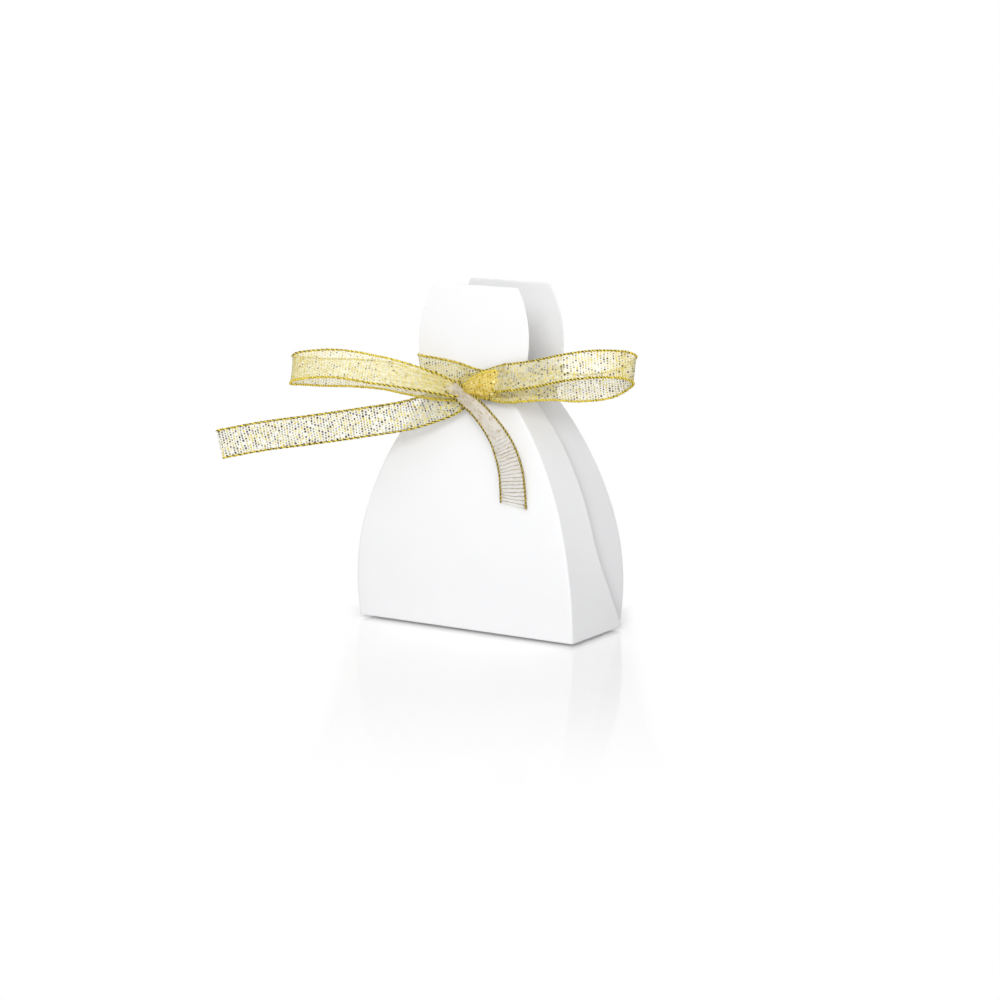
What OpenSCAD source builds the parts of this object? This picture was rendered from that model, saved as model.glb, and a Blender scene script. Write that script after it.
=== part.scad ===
// Favor box: a gown-shaped folded card box tied round the neck with a sheer metallic ribbon bow.
// Origin: middle of the base, on the surface that it stands on. +Z is up and the front faces -Y.

/* [Card box] */
// Width of the skirt at its widest
skirt_w = 88.8; // [70:0.2:110]
// Height at which the skirt is widest
skirt_wide_z = 9.2; // [6:0.2:14]
// Width of the waist, where the skirt meets the bodice
waist_w = 33.8; // [28:0.2:38]
// Height of the waist
waist_z = 82.2; // [74:0.2:86]
// Width of the bodice at its widest
bodice_w = 44.9; // [42:0.1:54]
// Height of the box
box_h = 120.8; // [114:0.2:130]
// Where the bodice is widest, as a share of the way from the waist to the top
bodice_wide_share = 0.5; // [0.4:0.01:0.6]
// Depth of the base between the outer faces of the front and rear panels
base_d = 35.2; // [30:0.2:42]
// How far the front and rear panels bow out beyond the base
belly_bulge = 2.4; // [1:0.1:4]
// Height at which the panels bow out most
belly_z = 28.8; // [20:0.2:40]
// Depth of the box at the neck, under the ribbon
neck_d = 27.6; // [24:0.2:32]
// Depth of the box across the top
top_d = 22.9; // [18:0.1:24]
// Thickness of the card
card_t = 0.4; // [0.25:0.05:0.6]
// How far the rear half is narrower at each side, so that its gussets tuck inside the front ones
tuck_in = 0.9; // [0.8:0.05:1.2]

/* [Gussets] */
// Height at which the gusset's free edge stops slanting and turns upright
gusset_bend_z = 37; // [30:1:48]
// Distance that a front gusset's upright edge stops short of the middle of the box
gusset_short = 0.6; // [0:0.1:2]
// Distance that a tucked rear gusset reaches past the middle of the box
tuck_reach = 6; // [2:0.5:9]
// Inward lean of the tucked rear gussets, in degrees
gusset_lean = 3.5; // [2:0.1:5]

/* [Ribbon] */
// Width of the ribbon
ribbon_w = 10; // [7:0.5:11]
// Thickness of the ribbon with its selvedges
ribbon_t = 0.3; // [0.2:0.05:0.4]
// Height of the middle of the neck band
band_z = 88.4; // [87:0.1:91]
// Drop of the neck band from its left end to its right end
band_drop = 4; // [0:0.2:6]
// Gap between the ribbon and the card
ribbon_gap = 0.35; // [0.3:0.05:0.5]

/* [Bow] */
// Distance of the knot to the right of the middle
knot_x = 3.5; // [-4:0.5:6]
// Distance of the knot's middle below the middle of the neck band
knot_drop = 2.4; // [0:0.2:4]
// Width of the knot
knot_w = 11; // [9:0.5:13]
// Height of the knot
knot_h = 9; // [7:0.5:10]
// Depth of the knot
knot_d = 4.8; // [4:0.1:5.6]
// Angle that the bow is turned away from the front panel, in degrees
bow_turn = 20; // [14:1:24]
// Reach of the right loop from the knot's middle
right_reach = 56; // [50:1:64]
// Reach of the left loop from the knot's middle
left_reach = 65; // [58:1:74]
// Depth of an open loop
loop_open = 14; // [12:0.5:16]
// Height that the loops rise above the knot
loop_rise = 11; // [8:0.5:12]
// Lean of the right loop's layers, in degrees
right_lean = 32; // [26:1:38]
// Lean of the left loop's layers, in degrees
left_lean = 25; // [18:1:30]
// Reach of the left tail from the knot's middle
left_tail_reach = 92; // [80:1:104]
// Height that the left tail falls over its length
left_tail_fall = 23; // [18:1:30]
// Height that the front tail hangs down below the knot's middle
front_tail_fall = 39.5; // [32:0.5:46]
// Sideways reach of the front tail
front_tail_reach = 17.6; // [12:0.2:20]

/* [Hidden] */

// Facets along the cut edges, and smooth steps between two points of a ribbon's path
edge_steps = 30;
path_steps = 3;
band_levels = 4;
circle_facets = 64;
// Overrun of the solids that only cut others
overrun = 1;
// Gap between a hidden card edge and the panel beside it
fold_gap = 0.1;
// How sharply the panels draw in from the belly to the neck
draw_in_power = 1.5;
card_colour = "white";
ribbon_colour = [0.85, 0.74, 0.35];

bodice_wide_z = waist_z + bodice_wide_share * (box_h - waist_z);
belly_d = base_d + 2 * belly_bulge;

// Radii of the two arcs of the outline, each upright at its widest point and through the waist
skirt_in = (skirt_w - waist_w) / 2;
skirt_r = (pow(waist_z - skirt_wide_z, 2) + pow(skirt_in, 2)) / (2 * skirt_in);
bodice_in = (bodice_w - waist_w) / 2;
bodice_r = (pow(bodice_wide_z - waist_z, 2) + pow(bodice_in, 2)) / (2 * bodice_in);
belly_r = (pow(belly_z, 2) + pow(belly_bulge, 2)) / (2 * belly_bulge);

// Distance of an arc's edge from its widest point, at a height from it
function arc_in(r, dz) = r - sqrt(pow(r, 2) - pow(dz, 2));
// Half the width of the box at a height
function half_w(z) = z < waist_z
    ? skirt_w / 2 - arc_in(skirt_r, z - skirt_wide_z)
    : bodice_w / 2 - arc_in(bodice_r, z - bodice_wide_z);
// Half the depth of the box at a height
function half_d(z) = z < belly_z
    ? belly_d / 2 - arc_in(belly_r, z - belly_z)
    : z < band_z
    ? belly_d / 2 - (belly_d - neck_d) / 2 * pow((z - belly_z) / (band_z - belly_z), draw_in_power)
    : neck_d / 2 - (neck_d - top_d) / 2 * (z - band_z) / (box_h - band_z);
// Heights from one to another, in equal steps
function heights(low, high, steps = edge_steps) = [for (i = [0 : steps]) low + (high - low) * i / steps];
outline_zs = concat(heights(0, waist_z),
    [for (z = heights(waist_z, box_h, edge_steps / 2)) if (z > waist_z) z]);
function reversed(list) = [for (i = [len(list) - 1 : -1 : 0]) list[i]];

// Front outline of the box as a block that runs from front to rear, drawn in at both sides
module outline_block(inset = 0) {
    rotate([90, 0, 0]) linear_extrude(height = belly_d + 2 * overrun, center = true)
        polygon(concat([for (z = outline_zs) [half_w(z) - inset, z]],
            [for (z = reversed(outline_zs)) [inset - half_w(z), z]]));
}

// A region of the side view, as a block that runs from left to right; points are [y, z]
module side_block(points) {
    rotate([90, 0, 90]) linear_extrude(height = skirt_w + 2 * overrun, center = true) polygon(points);
}

// The bowed front panel: the outline cut from a sheet that follows the side view
module bowed_panel(inset = 0) {
    intersection() {
        outline_block(inset);
        side_block(concat([for (z = outline_zs) [-half_d(z), z]],
            [for (z = reversed(outline_zs)) [card_t - half_d(z), z]]));
    }
}

module base_panel() {
    panel_w = skirt_w - 2 * (arc_in(skirt_r, skirt_wide_z) + tuck_in + card_t + fold_gap);
    panel_d = base_d - 2 * (card_t + fold_gap);
    color(card_colour) translate([-panel_w / 2, -panel_d / 2, 0]) cube([panel_w, panel_d, card_t]);
}

module front_panel() {
    color(card_colour) bowed_panel();
}

module rear_panel() {
    color(card_colour) mirror([0, 1, 0]) bowed_panel(tuck_in);
}

// Where a front gusset's free edge lies in the side view: it slants up from the rear corner of the
// base, then stands upright at upright_y to the waist
function free_edge_y(z, upright_y) = z < gusset_bend_z
    ? (half_d(0) - card_t) + (upright_y - (half_d(0) - card_t)) * sin(90 * z / gusset_bend_z)
    : upright_y;

// The region of the side view that a front gusset covers, above a bottom height
module gusset_side(bottom, upright_y) {
    zs = heights(bottom, waist_z);
    side_block(concat([for (z = zs) [card_t + fold_gap - half_d(z), z]],
        [for (z = reversed(zs)) [free_edge_y(z, upright_y), z]]));
}

// A curved strip of card along the skirt's right edge, drawn in from it by inset
module skirt_strip(inset) {
    zs = heights(0, waist_z);
    rotate([90, 0, 0]) linear_extrude(height = 2 * belly_d, center = true)
        polygon(concat([for (z = zs) [half_w(z) - inset, z]],
            [for (z = reversed(zs)) [half_w(z) - inset - card_t, z]]));
}

module front_gusset() {
    intersection() {
        skirt_strip(0);
        gusset_side(0, -gusset_short);
    }
}

// A tucked gusset leans inward from the front edge of its own panel; the rear ones are turned round
module tucked_gusset() {
    hinge_x = half_w(0) - tuck_in;
    intersection() {
        translate([hinge_x, -half_d(0), 0]) rotate([0, 0, gusset_lean])
            translate([-hinge_x, half_d(0), 0]) skirt_strip(tuck_in);
        gusset_side(card_t + fold_gap, tuck_reach);
    }
}

module right_front_gusset() {
    color(card_colour) front_gusset();
}

module left_front_gusset() {
    color(card_colour) mirror([1, 0, 0]) front_gusset();
}

module right_rear_gusset() {
    color(card_colour) mirror([0, 1, 0]) tucked_gusset();
}

module left_rear_gusset() {
    color(card_colour) rotate([0, 0, 180]) tucked_gusset();
}

// Ribbon

// A closed solid between two equal grids of points, the outer and the inner face of a sheet
module sheet_solid(outer, inner) {
    rows = len(outer);
    cols = len(outer[0]);
    back = rows * cols;
    function at(r, c) = r * cols + c;
    // Two triangles between four corners that run clockwise as seen from outside
    function patch(p, q, r, s) = [[p, q, r], [p, r, s]];
    faces = concat(
        [for (r = [0 : rows - 2], c = [0 : cols - 2])
            each patch(at(r, c), at(r, c + 1), at(r + 1, c + 1), at(r + 1, c))],
        [for (r = [0 : rows - 2], c = [0 : cols - 2])
            each patch(back + at(r, c), back + at(r + 1, c), back + at(r + 1, c + 1), back + at(r, c + 1))],
        [for (r = [0 : rows - 2])
            each patch(at(r, 0), at(r + 1, 0), back + at(r + 1, 0), back + at(r, 0))],
        [for (r = [0 : rows - 2]) let (c = cols - 1)
            each patch(at(r, c), back + at(r, c), back + at(r + 1, c), at(r + 1, c))],
        [for (c = [0 : cols - 2])
            each patch(at(0, c), back + at(0, c), back + at(0, c + 1), at(0, c + 1))],
        [for (c = [0 : cols - 2]) let (r = rows - 1)
            each patch(at(r, c), at(r, c + 1), back + at(r, c + 1), back + at(r, c))]);
    polyhedron(points = concat([for (row = outer) each row], [for (row = inner) each row]), faces = faces);
}

// Height on the neck band: level runs from 0 at its lower edge to 1 at its upper edge
function band_height(x, level) = band_z + (level - 0.5) * ribbon_w - band_drop * x / bodice_w;
// A point of the neck band beside a corner of the box: side_x and side_y pick the corner
function band_corner(side_x, side_y, level, away) = let (
    z = band_height(side_x * half_w(band_z), level))
    [side_x * (half_w(z) + away), side_y * (half_d(z) + away), z];
band_level_list = [for (i = [0 : band_levels]) i / band_levels];

// One stretch of the neck band between two corners of the box
module band_stretch(from, to) {
    sheet_solid(
        [for (corner = [from, to]) [for (level = band_level_list)
            band_corner(corner[0], corner[1], level, ribbon_gap + ribbon_t)]],
        [for (corner = [from, to]) [for (level = band_level_list)
            band_corner(corner[0], corner[1], level, ribbon_gap)]]);
}

module neck_band_front() {
    color(ribbon_colour) band_stretch([-1, -1], [1, -1]);
}

module neck_band_right() {
    color(ribbon_colour) band_stretch([1, -1], [1, 1]);
}

module neck_band_rear() {
    color(ribbon_colour) band_stretch([1, 1], [-1, 1]);
}

module neck_band_left() {
    color(ribbon_colour) band_stretch([-1, 1], [-1, -1]);
}

knot_z = band_z - knot_drop;
// The knot's middle stands off the front panel by half its depth and the neck band
knot_y = -(half_d(knot_z) + 2 * ribbon_gap + ribbon_t + knot_d / 2);
along = [cos(bow_turn), sin(bow_turn), 0];
forward = [sin(bow_turn), -cos(bow_turn), 0];
upward = [0, 0, 1];

// A rounded pillow, the gathered fold that the loops and tails come out of
module knot() {
    round_r = knot_h / 2;
    color(ribbon_colour) translate([knot_x, knot_y, knot_z]) intersection() {
        rotate([90, 0, 0]) linear_extrude(height = knot_d, center = true)
            for (side = [-1, 1]) translate([side * (knot_w / 2 - round_r), 0])
                circle(r = round_r, $fn = circle_facets);
        rotate([90, 0, 90]) linear_extrude(height = knot_w, center = true)
            intersection_for (side = [-1, 1]) translate([side * (knot_h - knot_d / 2), 0])
                circle(r = knot_h, $fn = circle_facets);
    }
}

// Smooth path through hand-picked points
function spline_at(p0, p1, p2, p3, t) = (2 * p1 + (p2 - p0) * t + (2 * p0 - 5 * p1 + 4 * p2 - p3) * t * t
    + (3 * p1 - p0 - 3 * p2 + p3) * t * t * t) / 2;
function smoothed(pts) = let (last = len(pts) - 1) concat(
    [for (i = [0 : last - 1], k = [0 : path_steps - 1]) spline_at(
        i > 0 ? pts[i - 1] : 2 * pts[0] - pts[1], pts[i], pts[i + 1],
        i + 2 <= last ? pts[i + 2] : 2 * pts[last] - pts[last - 1], k / path_steps)],
    [pts[last]]);
function unit(v) = v / norm(v);

// A ribbon swept along [along, out, up, width share] rows, its width as near to width_way as it can lie
module swept_ribbon(rows, along_way, out_way, width_way) {
    fine = smoothed(rows);
    last = len(fine) - 1;
    middle = [knot_x, knot_y, knot_z];
    path = [for (row = fine) middle + row[0] * along_way + row[1] * out_way + row[2] * upward];
    tangents = [for (i = [0 : last]) unit(path[min(i + 1, last)] - path[max(i - 1, 0)])];
    widths = [for (i = [0 : last]) unit(width_way - (width_way * tangents[i]) * tangents[i])
        * fine[i][3] * ribbon_w / 2];
    faces_out = [for (i = [0 : last]) unit(cross(tangents[i], widths[i])) * ribbon_t / 2];
    function face(side) = [for (i = [0 : last]) let (p = path[i] + side * faces_out[i])
        [p - widths[i], p + widths[i]]];
    sheet_solid(face(-1), face(1));
}

// Paths of the loops, as shares of their reach, their opening, their rise and the ribbon's width
right_loop_shares = [[0.11, 0.20, 0.30, 0.66], [0.23, 0.44, 0.43, 0.90], [0.40, 0.62, 0.60, 1],
    [0.58, 0.72, 0.83, 1], [0.77, 0.68, 0.98, 1], [0.93, 0.48, 0.96, 1], [1.00, 0.24, 0.82, 1],
    [0.98, 0.00, 0.61, 1], [0.85, -0.18, 0.22, 1], [0.66, -0.06, 0.09, 1], [0.50, 0.28, 0.19, 1],
    [0.34, 0.46, 0.22, 0.85], [0.22, 0.31, 0.13, 0.70], [0.11, 0.09, 0.02, 0.55]];
left_loop_shares = [[-0.10, 0.00, -0.14, 0.50], [-0.20, 0.20, 0.11, 0.62], [-0.35, 0.40, 0.35, 0.80],
    [-0.52, 0.48, 0.54, 1], [-0.74, 0.45, 0.69, 1], [-0.94, 0.28, 0.56, 1], [-1.00, 0.09, 0.38, 1],
    [-0.97, -0.11, 0.32, 1], [-0.84, -0.25, 0.28, 1], [-0.67, -0.26, 0.29, 1], [-0.50, -0.20, 0.25, 1],
    [-0.35, -0.12, 0.07, 0.90], [-0.20, -0.10, -0.14, 0.70], [-0.10, -0.12, -0.22, 0.50]];
left_tail_shares = [[-0.03, -0.08, -0.25, 0.28], [-0.10, -0.14, -0.30, 0.62], [-0.16, -0.10, -0.36, 0.92],
    [-0.27, 0.00, -0.47, 1], [-0.45, 0.12, -0.60, 1], [-0.63, 0.08, -0.73, 1], [-0.82, 0.03, -0.86, 1],
    [-1.00, 0.00, -1.02, 1]];
// The front tail's second column is its clearance from the front panel, as a share of the knot's depth
front_tail_shares = [[-0.20, 1.62, -0.04, 0.50], [-0.06, 1.23, -0.10, 0.60], [0.09, 1.14, -0.15, 0.60],
    [0.32, 0.97, -0.24, 0.62], [0.60, 0.69, -0.39, 0.76], [0.78, 0.49, -0.53, 0.88],
    [0.92, 0.35, -0.70, 0.95], [0.97, 0.25, -0.85, 0.98], [1.00, 0.17, -1.00, 1]];

module right_loop() {
    color(ribbon_colour) swept_ribbon(
        [for (s = right_loop_shares) [s[0] * right_reach, s[1] * loop_open, s[2] * loop_rise, s[3]]],
        along, forward, cos(right_lean) * upward - sin(right_lean) * forward);
}

module left_loop() {
    color(ribbon_colour) swept_ribbon(
        [for (s = left_loop_shares) [s[0] * left_reach, s[1] * loop_open, s[2] * loop_rise, s[3]]],
        along, forward, cos(left_lean) * upward - sin(left_lean) * forward);
}

module left_tail() {
    color(ribbon_colour) swept_ribbon(
        [for (s = left_tail_shares) [s[0] * left_tail_reach, s[1] * loop_open, s[2] * left_tail_fall, s[3]]],
        along, forward, upward);
}

module front_tail() {
    color(ribbon_colour) swept_ribbon(
        [for (s = front_tail_shares) let (up = s[2] * front_tail_fall)
            [s[0] * front_tail_reach, half_d(knot_z + up) + s[1] * knot_d + knot_y, up, s[3]]],
        [1, 0, 0], [0, -1, 0], [1, 0, 0]);
}

base_panel();
front_panel();
rear_panel();
left_front_gusset();
right_front_gusset();
left_rear_gusset();
right_rear_gusset();
neck_band_front();
neck_band_left();
neck_band_right();
neck_band_rear();
knot();
left_loop();
right_loop();
left_tail();
front_tail();
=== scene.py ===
import math
import random

import bmesh
import bpy
from mathutils import Matrix, Vector, noise


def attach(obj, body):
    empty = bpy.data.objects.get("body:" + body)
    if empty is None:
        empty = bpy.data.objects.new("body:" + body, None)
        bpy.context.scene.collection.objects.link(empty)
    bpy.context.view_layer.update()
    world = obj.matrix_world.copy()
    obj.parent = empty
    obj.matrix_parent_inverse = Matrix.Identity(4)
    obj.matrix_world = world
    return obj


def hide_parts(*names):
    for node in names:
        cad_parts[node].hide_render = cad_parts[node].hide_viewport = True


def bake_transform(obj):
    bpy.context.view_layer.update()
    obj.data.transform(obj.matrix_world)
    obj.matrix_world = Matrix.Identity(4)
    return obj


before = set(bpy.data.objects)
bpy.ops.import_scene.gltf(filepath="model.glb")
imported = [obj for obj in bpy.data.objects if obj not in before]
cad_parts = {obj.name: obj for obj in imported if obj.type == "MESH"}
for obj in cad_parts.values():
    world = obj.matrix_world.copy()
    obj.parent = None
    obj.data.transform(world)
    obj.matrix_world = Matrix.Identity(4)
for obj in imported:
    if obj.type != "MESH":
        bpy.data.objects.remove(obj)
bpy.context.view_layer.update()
mm = 0.001
print("frame loaded")

# shape of the card box, the same values as the solids, in millimetres
box = {
    "skirtWidth": 88.8, "skirtWideZ": 9.2, "waistWidth": 33.8, "waistZ": 82.2,
    "bodiceWidth": 44.9, "bodiceWideShare": 0.5, "height": 120.8,
    "baseDepth": 35.2, "bellyBulge": 2.4, "bellyZ": 28.8, "neckDepth": 27.6, "topDepth": 22.9,
    "card": 0.4, "tuckIn": 0.9, "foldGap": 0.1, "drawInPower": 1.5,
    "gussetBendZ": 37, "gussetShort": 0.6, "tuckReach": 6,
    "bandZ": 88.4, "bandDrop": 4, "ribbonGap": 0.35,
}
bodiceWideZ = box["waistZ"] + box["bodiceWideShare"] * (box["height"] - box["waistZ"])
bellyDepth = box["baseDepth"] + 2 * box["bellyBulge"]


def arcRadius(rise, inset):
    return (rise**2 + inset**2) / (2 * inset)


def arcIn(radius, dz):
    return radius - math.sqrt(radius**2 - dz**2)


skirtRadius = arcRadius(box["waistZ"] - box["skirtWideZ"], (box["skirtWidth"] - box["waistWidth"]) / 2)
bodiceRadius = arcRadius(bodiceWideZ - box["waistZ"], (box["bodiceWidth"] - box["waistWidth"]) / 2)
bellyRadius = arcRadius(box["bellyZ"], box["bellyBulge"])


def halfWidth(z):
    if z < box["waistZ"]:
        return box["skirtWidth"] / 2 - arcIn(skirtRadius, z - box["skirtWideZ"])
    return box["bodiceWidth"] / 2 - arcIn(bodiceRadius, z - bodiceWideZ)


def halfDepth(z):
    if z < box["bellyZ"]:
        return bellyDepth / 2 - arcIn(bellyRadius, z - box["bellyZ"])
    if z < box["bandZ"]:
        t = (z - box["bellyZ"]) / (box["bandZ"] - box["bellyZ"])
        return bellyDepth / 2 - (bellyDepth - box["neckDepth"]) / 2 * t ** box["drawInPower"]
    t = (z - box["bandZ"]) / (box["height"] - box["bandZ"])
    return box["neckDepth"] / 2 - (box["neckDepth"] - box["topDepth"]) / 2 * t


def freeEdge(z, uprightY):
    corner = halfDepth(0) - box["card"]
    if z < box["gussetBendZ"]:
        return corner + (uprightY - corner) * math.sin(math.pi / 2 * z / box["gussetBendZ"])
    return uprightY


# helpers for nodes
def newMaterial(name):
    material = bpy.data.materials.new(name)
    material.use_nodes = True
    tree = material.node_tree
    tree.nodes.clear()
    return material, tree


def addNode(tree, kind, **settings):
    node = tree.nodes.new(kind)
    for key, value in settings.items():
        if key.startswith("in_"):
            node.inputs[key[3:].replace("_", " ")].default_value = value
        else:
            setattr(node, key, value)
    return node


def mathNode(tree, operation, first, second=None, third=None, clamp=False):
    node = tree.nodes.new("ShaderNodeMath")
    node.operation = operation
    node.use_clamp = clamp
    for socket, value in zip(node.inputs, (first, second, third)):
        if value is None:
            continue
        if isinstance(value, (int, float)):
            socket.default_value = value
        else:
            tree.links.new(value, socket)
    return node.outputs[0]


def mixColour(tree, factor, first, second, blend="MIX"):
    node = tree.nodes.new("ShaderNodeMix")
    node.data_type = "RGBA"
    node.blend_type = blend
    for socket, value in ((node.inputs[0], factor), (node.inputs[6], first), (node.inputs[7], second)):
        if isinstance(value, (int, float)):
            socket.default_value = value
        elif isinstance(value, (tuple, list)):
            socket.default_value = (*value[:3], 1)
        else:
            tree.links.new(value, socket)
    return node.outputs[2]


def newGroup(name, inputs, outputs):
    group = bpy.data.node_groups.new(name, "ShaderNodeTree")
    for socketName, kind, value in inputs:
        socket = group.interface.new_socket(socketName, in_out="INPUT", socket_type="NodeSocket" + kind)
        if value is not None:
            socket.default_value = value
    for socketName, kind in outputs:
        group.interface.new_socket(socketName, in_out="OUTPUT", socket_type="NodeSocket" + kind)
    return group, group.nodes.new("NodeGroupInput"), group.nodes.new("NodeGroupOutput")


def placeGroup(tree, group, **values):
    node = tree.nodes.new("ShaderNodeGroup")
    node.node_tree = group
    for key, value in values.items():
        name = key.replace("_", " ")
        if isinstance(value, (int, float)):
            node.inputs[name].default_value = value
        elif isinstance(value, (tuple, list)):
            node.inputs[name].default_value = (*value, 1)[:4] if len(value) == 3 else value
        else:
            tree.links.new(value, node.inputs[name])
    return node


# paper surface: long fibres, faint mottle and a rolled coat
paper = {"fibreScale": 2600.0, "cloudScale": 55.0, "mottle": 0.03, "glossSpread": 0.16, "bump": 0.12,
         "bumpDepth": 0.00006, "coated": (0.92, 0.922, 0.932), "coatedRoughness": 0.42,
         # tucked: a darker card tone, painted shade for the gussets tucked behind the front ones
         "tucked": (0.885, 0.886, 0.9), "tuckedRoughness": 0.5,
         # strength and colour of the painted shadow beside the front gusset's free edge
         "edgeShadow": 0.2, "edgeShadowTone": (0.3, 0.3, 0.32)}
paperGroup, groupIn, groupOut = newGroup(
    "paperSurface",
    [("Vector", "Vector", None), ("Tone", "Color", (0.93, 0.93, 0.93, 1)), ("Mottle", "Float", 0.02),
     ("Roughness", "Float", 0.5)],
    [("Colour", "Color"), ("Roughness", "Float"), ("Height", "Float")],
)
fibre = addNode(paperGroup, "ShaderNodeTexNoise", in_Scale=paper["fibreScale"], in_Detail=4.0,
                in_Roughness=0.6)
cloud = addNode(paperGroup, "ShaderNodeTexNoise", in_Scale=paper["cloudScale"], in_Detail=3.0)
links = paperGroup.links
links.new(groupIn.outputs["Vector"], fibre.inputs["Vector"])
links.new(groupIn.outputs["Vector"], cloud.inputs["Vector"])
grainShade = mathNode(paperGroup, "MULTIPLY_ADD", fibre.outputs[0], groupIn.outputs["Mottle"], 1.0)
cloudShade = mathNode(paperGroup, "MULTIPLY_ADD", cloud.outputs[0], groupIn.outputs["Mottle"], 0.0)
shade = mathNode(paperGroup, "SUBTRACT", grainShade, cloudShade)
links.new(mixColour(paperGroup, 1.0, groupIn.outputs["Tone"], shade, "MULTIPLY"), groupOut.inputs["Colour"])
glossSpread = paper["glossSpread"]
rough = mathNode(paperGroup, "MULTIPLY_ADD", cloud.outputs[0], glossSpread, -glossSpread / 2)
links.new(mathNode(paperGroup, "ADD", groupIn.outputs["Roughness"], rough), groupOut.inputs["Roughness"])
links.new(fibre.outputs[0], groupOut.inputs["Height"])


def cardMaterial(name, cardTone, roughness, edgeShadow=0.0):
    material, tree = newMaterial(name)
    coords = addNode(tree, "ShaderNodeTexCoord")
    surface = placeGroup(tree, paperGroup, Vector=coords.outputs["Object"], Tone=cardTone,
                         Mottle=paper["mottle"], Roughness=roughness)
    shader = addNode(tree, "ShaderNodeBsdfPrincipled", in_IOR=1.45)
    bump = addNode(tree, "ShaderNodeBump", in_Strength=paper["bump"], in_Distance=paper["bumpDepth"])
    out = addNode(tree, "ShaderNodeOutputMaterial")
    colour = surface.outputs["Colour"]
    if edgeShadow:  # painted shadow along the free edge of the front gusset that lies over this card
        edgeShadowNode = addNode(tree, "ShaderNodeAttribute", attribute_name="edgeShadowMask")
        amount = mathNode(tree, "MULTIPLY", edgeShadowNode.outputs["Fac"], edgeShadow)
        colour = mixColour(tree, amount, colour, paper["edgeShadowTone"])
    tree.links.new(colour, shader.inputs["Base Color"])
    tree.links.new(surface.outputs["Roughness"], shader.inputs["Roughness"])
    tree.links.new(surface.outputs["Height"], bump.inputs["Height"])
    tree.links.new(bump.outputs[0], shader.inputs["Normal"])
    tree.links.new(shader.outputs[0], out.inputs["Surface"])
    return material


coatedCard = cardMaterial("coatedCard", paper["coated"], paper["coatedRoughness"])
# the tucked gussets' card is darker than the outer card: painted shade for their place in the gap behind the
# front gussets
tuckedShadedCard = cardMaterial("tuckedShadedCard", paper["tucked"], paper["tuckedRoughness"], paper["edgeShadow"])

# metallic gauze: a pale open cloth, its weft threads showing as rows of short dark and bright lengths
gauze = {"rowWobble": 0.12, "dashSpread": 0.5, "dashLeast": 0.72, "dashTall": 0.29, "dashWide": 0.36,
         "edge": 8.0, "greyShare": 0.45, "lineTall": 0.72, "clothGold": 0.35,
         "threadAlpha": 0.96, "threadMetal": 0.2, "specular": 0.15, "bump": 0.25, "bumpDepth": 0.00008}
weaveGroup, groupIn, groupOut = newGroup(
    "metallicGauze",
    [("Across", "Float", 0.0), ("Along", "Float", 0.0), ("Seed", "Float", 0.0), ("Weft Count", "Float", 12.5),
     ("Warp Count", "Float", 8.5), ("Row Slip", "Float", 0.4), ("Dot Share", "Float", 0.6),
     ("Gold Share", "Float", 0.4), ("Dot Size", "Float", 1.0), ("Line Strength", "Float", 0.0),
     ("Line Width", "Float", 0.36), ("Gold Tint", "Float", 0.0), ("Patchiness", "Float", 0.5),
     ("Gauze", "Color", (0.9, 0.88, 0.6, 1)), ("Gold", "Color", (0.8, 0.62, 0.12, 1)),
     ("Dark", "Color", (0.2, 0.17, 0.06, 1)), ("Grey", "Color", (0.33, 0.28, 0.27, 1)),
     ("Line", "Color", (0.5, 0.44, 0.3, 1)), ("Gauze Alpha", "Float", 0.55)],
    [("Colour", "Color"), ("Alpha", "Float"), ("Metal", "Float"), ("Roughness", "Float"),
     ("Height", "Float")],
)
links = weaveGroup.links
gin = groupIn.outputs


def weaveMath(operation, *values, clamp=False):
    return mathNode(weaveGroup, operation, *values, clamp=clamp)


def softStep(inside):
    # rises from 0 to 1 just inside an edge
    return weaveMath("MULTIPLY", inside, gauze["edge"], clamp=True)


place = addNode(weaveGroup, "ShaderNodeCombineXYZ")
for axis, name in enumerate(("Across", "Along", "Seed")):
    links.new(gin[name], place.inputs[axis])
wobble = addNode(weaveGroup, "ShaderNodeTexNoise", in_Scale=2.2, in_Detail=1.0)
links.new(place.outputs[0], wobble.inputs["Vector"])
bent = weaveMath("MULTIPLY_ADD", wobble.outputs[0], gauze["rowWobble"], gin["Along"])
weftPlace = weaveMath("MULTIPLY", bent, gin["Weft Count"])
weftRow = weaveMath("FLOOR", weftPlace)
weftPhase = weaveMath("FRACT", weftPlace)
rowShift = addNode(weaveGroup, "ShaderNodeTexWhiteNoise", noise_dimensions="1D")
links.new(weaveMath("ADD", weftRow, gin["Seed"]), rowShift.inputs["W"])
slip = weaveMath("MULTIPLY", rowShift.outputs["Value"], gin["Row Slip"])
# every other row steps half a length, as a plain weave does
halfStep = weaveMath("MULTIPLY", weaveMath("FLOORED_MODULO", weftRow, 2.0), 0.5)
warpPlace = weaveMath("MULTIPLY_ADD", gin["Across"], gin["Warp Count"], weaveMath("ADD", slip, halfStep))
warpCell = weaveMath("FLOOR", warpPlace)
warpPhase = weaveMath("FRACT", warpPlace)
cell = addNode(weaveGroup, "ShaderNodeCombineXYZ")
for axis, value in enumerate((warpCell, weftRow, gin["Seed"])):
    links.new(value, cell.inputs[axis])
cellNoise = addNode(weaveGroup, "ShaderNodeTexWhiteNoise", noise_dimensions="3D")
links.new(cell.outputs[0], cellNoise.inputs["Vector"])
luck = addNode(weaveGroup, "ShaderNodeSeparateColor")
links.new(cellNoise.outputs["Color"], luck.inputs[0])
patch = addNode(weaveGroup, "ShaderNodeTexNoise", in_Scale=1.1, in_Detail=2.0)
links.new(place.outputs[0], patch.inputs["Vector"])
patchAmount = weaveMath("MULTIPLY", weaveMath("SUBTRACT", patch.outputs[0], 0.5), gin["Patchiness"])
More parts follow.
